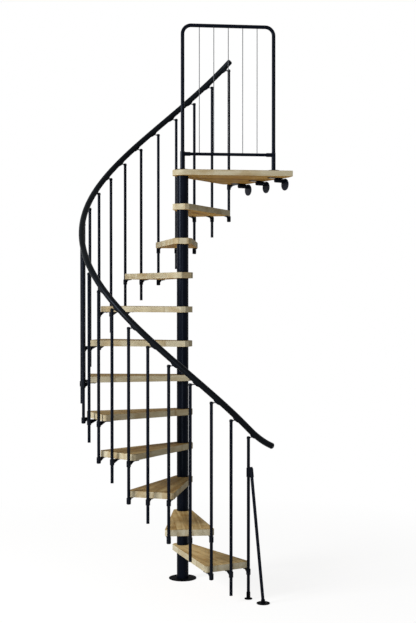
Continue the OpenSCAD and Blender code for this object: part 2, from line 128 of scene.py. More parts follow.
def drum(name, radius, depth, at=(0, 0, 0), turn=(0, 0, 0), sides=32):
    """A turned part: a cylinder whose middle is at a place."""
    clear_picks()
    bpy.ops.mesh.primitive_cylinder_add(vertices=sides, radius=radius, depth=depth, location=at,
                                        rotation=turn)
    return added(name)


def block(name, low, high):
    """A sawn part: a box between two corners."""
    clear_picks()
    middle = [(a + b) / 2 for a, b in zip(low, high)]
    bpy.ops.mesh.primitive_cube_add(size=1, location=middle, scale=[b - a for a, b in zip(low, high)])
    return added(name)


def copy_of(piece, name, matrix):
    """A copy with its own mesh, moved and turned by a matrix."""
    pick(piece)
    bpy.ops.object.duplicate()
    twin = bpy.context.object
    twin.name = twin.data.name = name
    twin.matrix_world = matrix
    bpy.ops.object.transform_apply(location=True, rotation=True, scale=True)
    return twin


def joined(name, pieces):
    """Joins pieces into the first one."""
    pick(*pieces)
    if len(pieces) > 1:
        bpy.ops.object.join()
    piece = bpy.context.object
    piece.name = piece.data.name = name
    return piece


def scrap(piece):
    """Removes a piece that was only a pattern or a cutter."""
    bpy.data.objects.remove(piece)


# %% [markdown]
# Real edges are never knife sharp: timber is sanded, castings and tubes are tumbled. A Bevel modifier
# limited by angle rounds only the sharp edges, and weighted normals keep the flat faces flat in the light.

# %% Round the edges, cut with another piece
def soften(piece, width, segments=2, limit=35):
    """Rounds the sharp edges and shades the piece smoothly."""
    pick(piece)
    bevel = piece.modifiers.new("edges", "BEVEL")
    bevel.width, bevel.segments = width, segments
    bevel.limit_method, bevel.angle_limit = "ANGLE", math.radians(limit)
    bevel.use_clamp_overlap = True
    bpy.ops.object.modifier_apply(modifier=bevel.name)
    bpy.ops.object.shade_smooth_by_angle(angle=math.radians(40))
    weighted = piece.modifiers.new("flats", "WEIGHTED_NORMAL")
    weighted.keep_sharp = True
    bpy.ops.object.modifier_apply(modifier=weighted.name)
    return piece


def cut(piece, cutter):
    """Cuts the cutter's shape out of a piece, and scraps the cutter."""
    pick(piece)
    boolean = piece.modifiers.new("cut", "BOOLEAN")
    boolean.operation, boolean.solver, boolean.object = "DIFFERENCE", "EXACT", cutter
    bpy.ops.object.modifier_apply(modifier=boolean.name)
    scrap(cutter)
    return piece


# %% [markdown]
# Some parts have the right shape in CAD and lack only their rounded edges. A CAD node's mesh is loose
# triangles, so a copy is merged, its flat areas are joined, and its edges are rounded.

# %% A finer copy of a CAD node
finished = []


def keep(piece, slot, *nodes):
    """Puts a piece on the body, names its slot and hides the CAD nodes that it stands for."""
    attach(piece, "root")
    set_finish(piece, slot)
    if nodes:
        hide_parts(*nodes)
    finished.append(piece)
    print(piece.name, "faces:", len(piece.data.polygons))
    return piece


def finer(node, name, width, segments=2, slot=None):
    """A merged copy of a CAD node with rounded edges."""
    piece = bpy.data.objects.new(name, frame["nodes"][node].data.copy())
    bpy.context.scene.collection.objects.link(piece)
    piece.data.materials.clear()
    pick(piece)
    bpy.ops.object.mode_set(mode="EDIT")
    bpy.ops.mesh.select_all(action="SELECT")
    bpy.ops.mesh.remove_doubles(threshold=0.00002)
    bpy.ops.mesh.dissolve_limited(angle_limit=math.radians(1))
    bpy.ops.object.mode_set(mode="OBJECT")
    if width:
        soften(piece, width, segments)
    return piece if slot is None else keep(piece, slot, node)


# %% [markdown]
# ## The stair's sizes
# All sizes are metres. Balusters are counted in half steps from the first, and a tread's top is as many
# rises up as its number. The stair climbs clockwise, so each step turns by a negative angle.
# tread_reach is the distance from the pole's axis to a tread's outer edge, and rod_above is how far a
# front baluster stands above its tread.

# %% Sizes
riser, half_turn = 0.230, math.radians(11.25)
ring_r, board_t = 0.677, 0.040
tread_reach, rod_above = 0.637, 0.797
first_angle = math.radians(-52.3)
treads = 11
rods = 2 * treads + 1
steps = range(1, treads + 1)


def rod_angle(k):
    return first_angle - half_turn * k


def tread_angle(n):
    return first_angle - half_turn * (2 * n - 1)


def spot(k, z, facing):
    """The matrix that sets a part down at baluster k, with its x axis facing a direction."""
    a = rod_angle(k)
    place = Matrix.Translation((ring_r * math.cos(a), ring_r * math.sin(a), z))
    return place @ Matrix.Rotation(facing, 4, "Z")


def rod_top(k):
    return riser + rod_above + riser / 2 * k


print("last baluster's top:", round(rod_top(rods - 1), 3))

# %% [markdown]
# ## Treads and landing
# A tread is one thick board of edge-glued beech, sawn to a wedge, with sanded edges. It could be drawn
# anew from its outline, but the CAD node already has the outline and the bore. So one tread is taken
# from it, its edges are rounded, and it is copied up the stair, one step at a time.

# %% Boards
board_edge = 0.0035
tread_pattern = finer("tread_01", "tread_pattern", board_edge, 3)
boards = []
for n in steps:
    climb = Matrix.Translation((0, 0, riser * (n - 1))) @ Matrix.Rotation(-2 * half_turn * (n - 1), 4, "Z")
    boards.append(keep(copy_of(tread_pattern, "board_%02d" % n, climb), "beech", "tread_%02d" % n))
scrap(tread_pattern)
boards.append(finer("landing", "landing_board", board_edge, 3, slot="beech"))

# %% [markdown]
# ## Small hardware
# One screw is turned from a drum: its upper edge is rounded far over into a dome, and a six-sided drum
# cuts the socket. It lies with its seat at the origin and its head up.

# %% A screw
def screw(name, radius):
    """A button-headed screw, sized by its head's radius."""
    height = radius * 0.62
    head = drum(name, radius, height, (0, 0, height / 2), sides=20)
    mark(head, lambda f: f.normal.z > 0.9)
    bpy.ops.mesh.bevel(offset=height * 0.7, segments=4)
    leave()
    socket = drum("socket_cutter", radius * 0.48, height, (0, 0, height * 1.05), sides=6)
    cut(head, socket)
    return soften(head, radius * 0.04, 1, limit=50)


button_screw = screw("button_screw", 0.0046)
print("screw head:", [round(v * 1000, 1) for v in button_screw.dimensions], "mm")

# %% [markdown]
# ## Edge brackets
# Under each tread's outer edge a moulded bracket holds a baluster. It has a socket, a curved arm and a
# pad with screws. The socket is a drum: its end faces are inset and bridged, which bores it through. A
# closed one is drawn down to a blunt cone instead, because its baluster ends inside.

# %% Sockets
socket_r, socket_h, bore_r = 0.014, 0.036, 0.01025
bore_floor, socket_edge = 0.0005, 0.0011
cone_rings = ((0.0018, 0.94), (0.0017, 0.86), (0.0012, 0.72))


def socket_part(closed):
    """A socket whose upper end is at the origin. A closed one has a floor and a blunt cone below."""
    part = drum("socket", socket_r, socket_h, (0, 0, -socket_h / 2), sides=40)
    if closed:
        mark(part, lambda f: f.normal.z < -0.9)
        for drop, size in cone_rings:
            bpy.ops.mesh.extrude_region_move(TRANSFORM_OT_translate={"value": (0, 0, -drop)})
            bpy.ops.transform.resize(value=(size, size, 1), center_override=(0, 0, 0))
        leave()
        mark(part, lambda f: f.normal.z > 0.9)
        bpy.ops.mesh.inset(thickness=socket_r - bore_r)
        bpy.ops.mesh.extrude_region_move(TRANSFORM_OT_translate={"value": (0, 0, bore_floor - socket_h)})
        leave()
    else:
        mark(part, lambda f: abs(f.normal.z) > 0.9)
        bpy.ops.mesh.inset(thickness=socket_r - bore_r)
        bpy.ops.mesh.bridge_edge_loops()
        leave()
    return soften(part, socket_edge, 2)


# %% [markdown]
# The arm is a gusset with a hollow curve below. A block is cut by a flattened drum, and then both sides
# are inset and pressed in, which leaves a thin web between stout flanges, as a moulding has.

# %% Arms and pads
arm_half, arm_low, pad_reach, pad_half, pad_t = 0.008, 0.032, 0.056, 0.015, 0.005
into_socket, below_board, flange_w, web_depth, pad_corner = 0.003, 0.0002, 0.0026, 0.0048, 0.005


def arm_part(gap):
    """The gusset between the socket's wall and the middle of the pad."""
    inner, outer = -gap - pad_reach / 2, into_socket - socket_r
    part = block("arm", (inner, -arm_half, -arm_low), (outer, arm_half, -below_board))
    clear_picks()
    bpy.ops.mesh.primitive_cylinder_add(vertices=64, radius=1, depth=0.05, rotation=(math.pi / 2, 0, 0),
                                        location=(inner, 0, -arm_low),
                                        scale=(outer - inner, arm_low - pad_t, 1))
    cut(part, added("curve_cutter"))
    mark(part, lambda f: abs(f.normal.y) > 0.9)
    bpy.ops.mesh.inset(thickness=flange_w, depth=-web_depth)
    leave()
    return soften(part, 0.0006, 2, limit=50)


def pad_part(gap):
    """The flat pad against the board's underside. Its four upright edges are rounded."""
    part = block("pad", (-gap - pad_reach, -pad_half, -pad_t), (-gap, pad_half, 0))
    pick(part)
    bpy.ops.object.mode_set(mode="EDIT")
    bpy.ops.mesh.select_mode(type="EDGE")
    bpy.ops.mesh.select_all(action="DESELECT")
    bpy.ops.object.mode_set(mode="OBJECT")
    points = part.data.vertices
    for edge in part.data.edges:
        a, b = (points[i].co for i in edge.vertices)
        edge.select = abs(a.z - b.z) > pad_t / 2
    bpy.ops.object.mode_set(mode="EDIT")
    bpy.ops.mesh.bevel(offset=pad_corner, segments=4)
    leave()
    return soften(part, 0.0009, 2)


# %% [markdown]
# Three small screws hold the pad, one at its inner end and two beside the arm. A still smaller set screw
# in the socket's outer side grips the baluster, and it is sunk a little because the socket is round.

# %% A whole bracket
near_edge, far_in, beside_arm = 0.010, 0.046, 0.0112
pad_screw_size, set_screw_size, set_screw_sunk = 0.72, 0.6, 0.0006


def bracket(name, gap, closed=False):
    """A bracket whose baluster stands at the origin. The tread's edge lies gap inwards of it."""
    parts = [socket_part(closed), arm_part(gap), pad_part(gap)]
    for inwards, aside in ((far_in, 0), (near_edge, beside_arm), (near_edge, -beside_arm)):
        down = Matrix.Translation((-gap - inwards, aside, -pad_t)) @ Matrix.Rotation(math.pi, 4, "X")
        parts.append(copy_of(button_screw, "pad_screw", down @ Matrix.Scale(pad_screw_size, 4)))
    side = Matrix.Translation((socket_r - set_screw_sunk, 0, -socket_h * 0.55))
    side = side @ Matrix.Rotation(math.pi / 2, 4, "Y") @ Matrix.Scale(set_screw_size, 4)
    parts.append(copy_of(button_screw, "set_screw", side))
    return joined(name, parts)


# %% [markdown]
# One bracket of each kind is copied to all its places: at a tread's front corner, at the middle of its
# outer edge, and at its back corner. One more turns in under the landing's far edge.

# %% Brackets in their places
corner_gap, middle_gap = ring_r * math.cos(half_turn) - tread_reach, ring_r - tread_reach
landing_gap, landing_facing = 0.030, math.radians(150)


def underside(n):
    """The height of a board's lower face."""
    return riser * n - board_t


def bracket_set(name, node, pattern, ahead, extra=()):
    """Copies a bracket to each tread. Its baluster is ahead half steps past the tread's front one."""
    copies = [copy_of(pattern, name, spot(2 * n - 2 + ahead, underside(n), tread_angle(n))) for n in steps]
    return keep(joined(name, copies + list(extra)), "black_fittings", node)


open_pattern = bracket("open_pattern", corner_gap)
middle_pattern = bracket("middle_pattern", middle_gap)
closed_pattern = bracket("closed_pattern", corner_gap, closed=True)
landing_pattern = bracket("landing_pattern", landing_gap)
at_landing = spot(rods - 1, underside(treads + 1), landing_facing)
under_landing = copy_of(landing_pattern, "under_landing", at_landing)
bracket_set("front_bracket_set", "front_brackets", open_pattern, 0, [under_landing])
bracket_set("middle_bracket_set", "middle_brackets", middle_pattern, 1)
bracket_set("back_bracket_set", "back_brackets", closed_pattern, 2)
for pattern in (open_pattern, middle_pattern, closed_pattern, landing_pattern):
    scrap(pattern)

# %% [markdown]
# ## Balusters
# The balusters are plain tubes, and their CAD nodes are right as they are. Only the middle ones end in
# the open, below their brackets, where a small plug closes each tube. It is a disc with a rounded rim,
# a little wider than the tube, and half a millimetre of it shows below the tube's end.

# %% Plugs in the middle balusters' lower ends
rod_r, middle_drop = 0.010, 0.190
plug_t, plug_showing, plug_edge = 0.006, 0.0005, 0.0022
plug = drum("plug_pattern", rod_r * 1.02, plug_t, (0, 0, plug_t / 2 - plug_showing), sides=32)
soften(plug, plug_edge, 3)
plugs = [copy_of(plug, "plug", spot(2 * n - 1, riser * n - middle_drop, 0)) for n in steps]
scrap(plug)
keep(joined("baluster_plugs", plugs), "black_fittings")

# %% [markdown]
# ## Knobs, pins and saddles
# A moulded knob caps each baluster. A thin pin runs from it, towards the lower side, into a saddle that
# cradles the handrail, and a hexagon nut locks the pin. The knob is a drum with its top edge rounded far
# over, and a flat collar round its foot. It could be spun from a profile, but a bevel is quicker.

# %% Knob and pin
knob_r, knob_h, rail_r, rail_lift = 0.0115, 0.016, 0.020, 0.048
dome, collar_h, pin_r, nut_r, nut_h = 0.007, 0.003, 0.003, 0.0048, 0.004
slope = math.atan(riser / 2 / (ring_r * half_turn))
saddle_half = 0.028
saddle_run = (rail_lift - rail_r / math.cos(slope)) / math.tan(slope) + saddle_half * math.cos(slope)
saddle_turn = saddle_run / ring_r

knob = drum("knob", knob_r, knob_h, (0, 0, -knob_h / 2), sides=36)
mark(knob, lambda f: f.normal.z > 0.9)
bpy.ops.mesh.bevel(offset=dome, segments=6)
leave()
soften(knob, 0.0008, 2, limit=50)
collar = drum("collar", knob_r * 1.06, collar_h, (0, 0, collar_h / 2 - knob_h), sides=36)
soften(collar, 0.0008, 2)
sideways = (math.pi / 2, 0, 0)
pin = drum("pin", pin_r, saddle_run, (0, saddle_run / 2, -knob_h / 2), sideways, sides=20)
nut = drum("nut", nut_r, nut_h, (0, knob_r + 0.0012, -knob_h / 2), sideways, sides=6)
soften(nut, 0.0004, 1)
knob_pattern = joined("knob_pattern", [knob, collar, pin, nut])
print("saddle stands", round(saddle_run * 1000, 1), "mm from its baluster")

# %% [markdown]
# The saddle shows as a lens-shaped swelling under the handrail. It is a ball, flattened and drawn out
# along the rail, and a drum of the handrail's size cuts its bed. Its x axis lies along the handrail.

# %% Saddles
saddle_drop, saddle_half_w, saddle_half_h = 0.0170, 0.0125, 0.0090
bed_play, cutter_l = 0.0002, 0.12


def saddle(name, half_length):
    """A saddle for a handrail whose axis is the x axis."""
    clear_picks()
    bpy.ops.mesh.primitive_uv_sphere_add(segments=48, ring_count=24, radius=1,
                                         location=(0, 0, -saddle_drop),
                                         scale=(half_length, saddle_half_w, saddle_half_h))
    shell = added(name)
    cut(shell, drum("rail_cutter", rail_r + bed_play, cutter_l, turn=(0, math.pi / 2, 0), sides=72))
    return soften(shell, 0.0004, 1, limit=50)


saddle_pattern = saddle("saddle_pattern", saddle_half)
short_saddle = saddle("short_saddle", saddle_half - 0.004)
print("saddle faces:", len(saddle_pattern.data.polygons))

# %% [markdown]
# Past the first baluster the handrail runs straight on in plan and bends towards the level, so the first
# saddle lies there, flatter and shorter than the rest.

# %% Knobs and saddles in their places
tail_run, tail_slope = 0.195, math.tan(math.radians(22))
tail_bend = (math.tan(slope) - tail_slope) / tail_run


def rail_frame(k, run):
    """The matrix of the handrail's centre line, run metres of plan length below baluster k."""
    if k > 0:
        a, drop, s = rod_angle(k) + run / ring_r, -run * math.tan(slope), math.tan(slope)
        place = (ring_r * math.cos(a), ring_r * math.sin(a))
    else:
        a = rod_angle(0)
        drop, s = -run * math.tan(slope) + tail_bend * run * run / 2, math.tan(slope) - tail_bend * run
        place = (ring_r * math.cos(a) - run * math.sin(a), ring_r * math.sin(a) + run * math.cos(a))
    z = rod_top(k) + rail_lift + drop
    turned = Matrix.Rotation(a - math.pi / 2, 4, "Z") @ Matrix.Rotation(-math.atan(s), 4, "Y")
    return Matrix.Translation((place[0], place[1], z)) @ turned


holders = []
for k in range(rods):
    holders.append(copy_of(knob_pattern, "knob", spot(k, rod_top(k), rod_angle(k))))
    holders.append(copy_of(saddle_pattern if k else short_saddle, "saddle", rail_frame(k, saddle_run)))
keep(joined("rail_holders", holders), "black_fittings", "handrail_brackets")
for pattern in (knob_pattern, saddle_pattern, short_saddle):
    scrap(pattern)

# %% [markdown]
# ## Handrail
# The handrail is a plastic tube over a steel core, in four lengths. Its CAD nodes are ringed and
# flat-sided, so merged copies are shaded smooth, and only the ends of each length are rounded, which
# leaves a hairline where two lengths meet. The ends are closed by caps: a dome at the top, and a flatter
# button at the bottom.

# %% Handrail lengths and caps
joint_edge = 0.0007
for i in range(1, 5):
    finer("handrail_%d" % i, "handrail_length_%d" % i, joint_edge, 2, slot="handrail_plastic")


def end_cap(name, rounding, length):
    """A cap whose flat side is at the origin and whose rounded end points along the x axis."""
    cap = drum(name, rail_r * 1.005, length, (length / 2, 0, 0), (0, math.pi / 2, 0), sides=48)
    mark(cap, lambda f: f.normal.x > 0.9)
    bpy.ops.mesh.bevel(offset=rounding, segments=7)
    leave()
    return soften(cap, 0.0006, 1, limit=60)


top_end = end_cap("top_cap", 0.0112, 0.0118)
low_end = end_cap("low_cap", 0.0060, 0.0090)
head_run = -0.004  # the handrail ends this far past the last baluster
caps = [copy_of(top_end, "cap", rail_frame(rods - 1, head_run)),
        copy_of(low_end, "cap", rail_frame(0, tail_run) @ Matrix.Rotation(math.pi, 4, "Z"))]
scrap(top_end)
scrap(low_end)
keep(joined("rail_end_caps", caps), "black_fittings", "handrail_caps")

# %% [markdown]
# ## Column
# Twelve steel tubes space the boards. Their ends are deburred, which draws a fine line where a tube meets
# a board. The base plate's rim and holes, the feet, the railing and the anchors are rounded in the same
# way, each as much as its own edge is: a bent tube hardly at all, a turned disc the most.

# %% Column, feet, railing, anchors and clamp from their CAD nodes
for node, name, edge in (
        ("spacer_tubes", "column_tubes", 0.0008),
        ("base_plate", "floor_plate", 0.0016),
        ("first_baluster_foot", "baluster_foot", 0.0012),
        ("brace_foot", "brace_floor_disc", 0.0014),
        ("railing_hoop", "railing_tube", 0.0004),
        ("railing_sleeves", "post_sleeves", 0.0010),
        ("railing_flanges", "post_flanges", 0.0014),
        ("railing_sockets", "crossbar_sockets", 0.0010),
        ("anchor_plates", "wall_anchor_plates", 0.0010),
        ("anchor_bars", "wall_anchor_bars", 0.0010),
        ("anchor_discs", "wall_anchor_discs", 0.0016)):
    finer(node, name, edge, 2, slot="black_steel")
clamp = finer("brace_clamp", "rod_clamp", 0.0012, 2)

# %% [markdown]
# The clamp grips with two screws across it, and each post's flange is held by three, set round the tube.
# All are copies of the one screw.

# %% Screws in the clamp and the flanges
clamp_z, clamp_h = 0.800, 0.057
between_rods, clamp_face = 0.0155, 0.0078
clamp_screws = []
for z in (clamp_z - clamp_h / 4, clamp_z + clamp_h / 4):
    at = spot(0, z, rod_angle(0)) @ Matrix.Translation((between_rods, -clamp_face, 0))
    clamp_screws.append(copy_of(button_screw, "clamp_screw", at @ Matrix.Rotation(math.pi / 2, 4, "X")))
keep(joined("rod_clamp", [clamp] + clamp_screws), "black_fittings", "brace_clamp")

post_span, rail_turn, flange_t = 0.621, math.radians(5), 0.005
screw_circle_r, screw_sunk = 0.0300, 0.0004
landing_z = riser * (treads + 1)
flange_screws = []
for x in (0, post_span):
    post = Matrix.Rotation(rail_turn, 4, "Z") @ Matrix.Translation((x, 0, landing_z + flange_t))
    for i in range(3):
        around = Matrix.Rotation(math.radians(120 * i + 30), 4, "Z")
        outwards = Matrix.Translation((screw_circle_r, 0, -screw_sunk))
        flange_screws.append(copy_of(button_screw, "flange_screw", post @ around @ outwards))
keep(joined("flange_screws", flange_screws), "black_fittings")
scrap(button_screw)

# %% [markdown]
# ## Finishes
# Every finish is a node material on Object coordinates, so it is as large as on the real thing and sits
# still on the piece. One helper adds a node, sets its inputs by name, and links those that are sockets.

# %% Node helpers
def put(tree, kind, inputs=None, **settings):
    """Adds a node. Inputs are numbers, colours or other nodes' sockets."""
    node = tree.nodes.new("ShaderNode" + kind)
    for key, value in settings.items():
        setattr(node, key, value)
    for key, value in (inputs or {}).items():
        if isinstance(value, bpy.types.NodeSocket):
            tree.links.new(value, node.inputs[key])
        else:
            node.inputs[key].default_value = value
    return node


def sum_of(tree, operation, a, b=0.0):
    """The result of arithmetic on two values."""
    return put(tree, "Math", {0: a, 1: b}, operation=operation).outputs[0]


def blank(name):
    """A new material, its node tree and its shader."""
    material = bpy.data.materials.new(name)
    material.use_nodes = True
    return material, material.node_tree, material.node_tree.nodes["Principled BSDF"]


def wear(piece, material):
    """Gives a piece one material all over."""
    piece.data.materials.clear()
    piece.data.materials.append(material)
    for face in piece.data.polygons:
        face.material_index = 0


# %% [markdown]
# Most finishes come down to four steps: a noise that is drawn out along an axis, a value graded from one
# range to another, a value turned into colour, and a colour darkened by a tint where a value is high.

# %% Noise, grades, colours and tints
def noise(tree, place, stretch, scale, detail, **more):
    """A noise value. The smaller the stretch along an axis, the longer the noise is drawn out there."""
    drawn = put(tree, "Mapping", {"Vector": place, "Scale": stretch}).outputs[0]
    return put(tree, "TexNoise", {"Vector": drawn, "Scale": scale, "Detail": detail, **more}).outputs["Fac"]


def graded(tree, value, start, end, low=0.0, high=1.0):
    """Runs from low to high while the value runs from start to end."""
    return put(tree, "MapRange", {"Value": value, "From Min": start, "From Max": end,
                                  "To Min": low, "To Max": high}).outputs[0]


def ramp(tree, value, *stops):
    """A colour ramp through stops of (position, colour)."""
    node = put(tree, "ValToRGB", {"Fac": value})
    elements = node.color_ramp.elements
    while len(elements) < len(stops):
        elements.new(0.5)
    for element, (position, colour) in zip(elements, stops):
        element.position, element.color = position, (*colour, 1)
    return node.outputs["Color"]


def tinted(tree, base, amount, tint):
    """A colour multiplied by a tint, as far as the amount says."""
    return put(tree, "MixRGB", {"Fac": amount, "Color1": base, "Color2": (*tint, 1)},
               blend_type="MULTIPLY").outputs[0]


# %% [markdown]
# ### Beech boards
# The boards are glued up from staves that run lengthwise. Each stave was cut from its own place in the
# log, so it has its own tone and its own stretch of grain. Across the staves, the floor of the distance
# counts them, and white noise gives each number its tone. A picture could show this too, but it would
# blur close up, and this pattern doesn't.

# %% Staves
stave_w = 0.052
stave_shift = 40.5
log_x, log_y, log_z = 7.3, 3.1, 0.37


def staves(tree, local, shift):
    """How many staves over a point lies, and the random tone of its stave."""
    across = put(tree, "SeparateXYZ", {0: local}).outputs["Y"]
    across = sum_of(tree, "DIVIDE", across, stave_w)
    across = sum_of(tree, "ADD", across, stave_shift + shift)
    number = sum_of(tree, "FLOOR", across)
    return across, put(tree, "TexWhiteNoise", {"W": number}, noise_dimensions="1D").outputs["Value"]


def in_the_log(tree, local, tone, shift):
    """Moves each stave's pattern to its own place in the log."""
    log = put(tree, "CombineXYZ", {"X": sum_of(tree, "MULTIPLY", tone, log_x),
                                   "Y": sum_of(tree, "MULTIPLY", tone, log_y), "Z": shift * log_z})
    return put(tree, "VectorMath", {0: local, 1: log.outputs[0]}, operation="ADD").outputs[0]


# %% [markdown]
# A stave's colour comes from a broad figure, a fine grain and its own tone. The varnished faces have more
# contrast than the sawn edges. Their tones also hold painted light and shade: the faces are painted darker
# and the edges paler, as the lamps light the edges most. The undersides are tinted lighter and warmer, which
# is painted light from below. Then come the marks: dark patches, painted shade along the rounded rims of
# the edges, short flecks and glue joints.

# %% Colour of the wood
figure_share, grain_share, tone_share = 0.72, 0.14, 0.16
# Face tones are painted darker and edge tones paler: painted shade on the faces and painted light on the
# edges, over the wood's own tones.
face_tones_and_shade = ((0.30, (0.104, 0.060, 0.021)), (0.50, (0.200, 0.138, 0.058)), (0.70, (0.310, 0.236, 0.118)))
edge_tones_and_light = ((0.28, (0.215, 0.172, 0.100)), (0.50, (0.265, 0.234, 0.160)), (0.72, (0.318, 0.292, 0.218)))
# The underside tint is painted light from below, and the rim tint is painted shade on the rounded rims.
underside_light_tint, patch_tint, rim_shade_tint = (1.70, 1.36, 0.74), (0.72, 0.58, 0.40), (0.42, 0.30, 0.16)
fleck_tint, joint_tint = (0.62, 0.50, 0.38), (0.45, 0.34, 0.22)


def shade_of(tree, place, grain, tone, depth):
    """How light the wood is at a point. A positive depth makes it darker."""
    figure = noise(tree, place, (0.9, 13, 13), 2.2, 4.0, Roughness=0.55, Distortion=0.6)
    shade = sum_of(tree, "MULTIPLY", figure, figure_share)
    shade = sum_of(tree, "ADD", shade, sum_of(tree, "MULTIPLY", grain, grain_share))
    shade = sum_of(tree, "ADD", shade, sum_of(tree, "MULTIPLY", tone, tone_share))
    return sum_of(tree, "ADD", shade, 0.01 - depth)


def wood_colour(tree, normal, place, across, shade, pale):
    """The wood's colour, with its marks and its painted light and shade. The faces' colour is multiplied by
    pale, which paints light on them.
    """
    up = put(tree, "SeparateXYZ", {0: normal}).outputs["Z"]
    level = sum_of(tree, "ABSOLUTE", up)
    flat = graded(tree, level, 0.55, 0.95)
    # pale multiplies the faces' colour: painted light on the boards that catch more of it.
    faces = tinted(tree, ramp(tree, shade, *face_tones_and_shade), 1.0, (pale, pale, pale))
    # Mixing by flat puts the painted shade on the faces and the painted light on the edges.
    colour = put(tree, "MixRGB", {"Fac": flat, "Color1": ramp(tree, shade, *edge_tones_and_light), "Color2": faces})
    # Painted light: faces that look down are made lighter and warmer, as if lit from below.
    colour = tinted(tree, colour.outputs[0], graded(tree, up, -0.4, -0.9, high=0.75), underside_light_tint)
    patches = noise(tree, place, (1, 1, 1), 9.0, 1.0)
    colour = tinted(tree, colour, graded(tree, patches, 0.50, 0.64, high=0.55), patch_tint)
    # Painted shade: the rounded rims next to the faces are darkened.
    rim = graded(tree, level, 0.20, 0.45, high=0.75)
    rim = sum_of(tree, "MULTIPLY", rim, sum_of(tree, "SUBTRACT", 1.0, flat))
    colour = tinted(tree, colour, rim, rim_shade_tint)
    flecks = noise(tree, place, (60, 420, 420), 1.6, 1.0)
    colour = tinted(tree, colour, graded(tree, flecks, 0.66, 0.78, high=0.35), fleck_tint)
    seam = sum_of(tree, "PINGPONG", across, 0.5)
    return tinted(tree, colour, graded(tree, seam, 0.010, 0.022, low=0.32, high=0.0), joint_tint)


# %% [markdown]
# The pattern is turned to run along each board, and a number shifts it, so no two boards look the same.
# The varnish is satin and thin: its sheen follows the grain, and it mirrors very little.

# %% The boards' finish
def beech(name, turn, shift, depth, pale):
    """Beech whose staves run in the direction turn, seen from above."""
    material, tree, shader = blank(name)
    coords = put(tree, "TexCoord").outputs
    local = put(tree, "Mapping", {"Vector": coords["Object"], "Rotation": (0, 0, -turn)}).outputs[0]
    across, tone = staves(tree, local, shift)
    place = in_the_log(tree, local, tone, shift)
    grain = noise(tree, place, (4.5, 120, 120), 3.0, 3.0, Roughness=0.6)
    shade = shade_of(tree, place, grain, tone, depth)
    colour = wood_colour(tree, coords["Normal"], place, across, shade, pale)
    tree.links.new(colour, shader.inputs["Base Color"])
    tree.links.new(graded(tree, grain, 0.3, 0.7, 0.50, 0.62), shader.inputs["Roughness"])
    bump = put(tree, "Bump", {"Height": grain, "Strength": 0.05, "Distance": 0.0006})
    tree.links.new(bump.outputs[0], shader.inputs["Normal"])
    shader.inputs["Specular IOR Level"].default_value = 0.006
    return material


# %% [markdown]
# Boards are shifted lighter or darker by number. For treads 1 to 4 this paints in the light and shade that
# fall on their tops. Some treads' faces are also brightened by a factor, which is painted light. The landing
# comes last. Its staves run along the edge under the railing.

# %% Finish each board
landing_lean = math.radians(6)
# A shift of each board's shade by number. On treads 1 to 4 it is painted light and shade on their tops.
board_tone_and_light = {1: -0.10, 2: -0.12, 3: 0.03, 4: 0.02, 6: -0.03, 7: -0.03, 12: 0.04}
# Painted light: these factors brighten the faces of treads that catch more light.
board_painted_light = {1: 1.28, 2: 1.38, 10: 1.15, 11: 1.15}
for n, board in enumerate(boards, 1):
    along = tread_angle(n) if n <= treads else landing_lean
    wear(board, beech("beech_%02d" % n, along, n * 3, board_tone_and_light.get(n, 0.0), board_painted_light.get(n, 1.0)))
print("boards finished:", len(boards))

# %% [markdown]
# ### Black finishes
# The steel is powder coated in satin black with a cold, bluish cast. A powder coat is never quite level:
# it has a fine orange peel, which a small noise bump gives, and its sheen varies a little. The mouldings
# and the handrail are duller, with a coarser skin. The wall discs get a lighter, glossier copy of the coat,
# which paints in the light that falls on them. What stands on the floor is scuffed matt. All of them tint
# what they mirror towards blue.

# %% Coated steel and moulded plastic
def black(name, colour, rough, skin_size, skin_depth, level, stretch=(1, 1, 1)):
    """A dark finish: its colour and sheen drift, and its skin has a fine texture."""
    material, tree, shader = blank(name)
    coords = put(tree, "TexCoord").outputs["Object"]
    drift = noise(tree, coords, (1, 1, 1), 9.0, 3.0)
    darker = tuple(c * 0.82 for c in colour)
    lighter = tuple(c * 1.18 for c in colour)
    tree.links.new(ramp(tree, drift, (0.35, darker), (0.65, lighter)), shader.inputs["Base Color"])
    gloss = graded(tree, drift, 0.3, 0.7, rough - 0.04, rough + 0.04)
    tree.links.new(gloss, shader.inputs["Roughness"])
    skin = noise(tree, coords, stretch, 1 / skin_size, 2.0)
    bump = put(tree, "Bump", {"Height": skin, "Strength": skin_depth, "Distance": 0.0003})
    tree.links.new(bump.outputs[0], shader.inputs["Normal"])
    shader.inputs["Specular IOR Level"].default_value = level
    shader.inputs["Specular Tint"].default_value = (0.66, 0.78, 1.0, 1)
    return material


coat = black("powder_coat", (0.0018, 0.0024, 0.0048), 0.27, 0.0030, 0.008, 0.036)
moulded = black("moulded_black", (0.0026, 0.0031, 0.0050), 0.36, 0.0012, 0.04, 0.040)
rail_skin = black("handrail_black", (0.0028, 0.0034, 0.0042), 0.32, 0.0014, 0.04, 0.036, (1, 1, 0.6))
# A lighter, glossier copy of the coat: painted light on the wall discs.
lit_disc_coat = black("lit_disc_coat", (0.0040, 0.0050, 0.0090), 0.30, 0.0030, 0.008, 0.13)
plate_coat = black("plate_coat", (0.0022, 0.0024, 0.0032), 0.5, 0.0030, 0.02, 0.004)

# %% [markdown]
# ### Bare metal
# The inner pole is galvanised, with a spangle of dull crystals, and the railing's wires are drawn steel,
# streaked lengthwise. Both are metals, so their colour is the colour of their reflection.

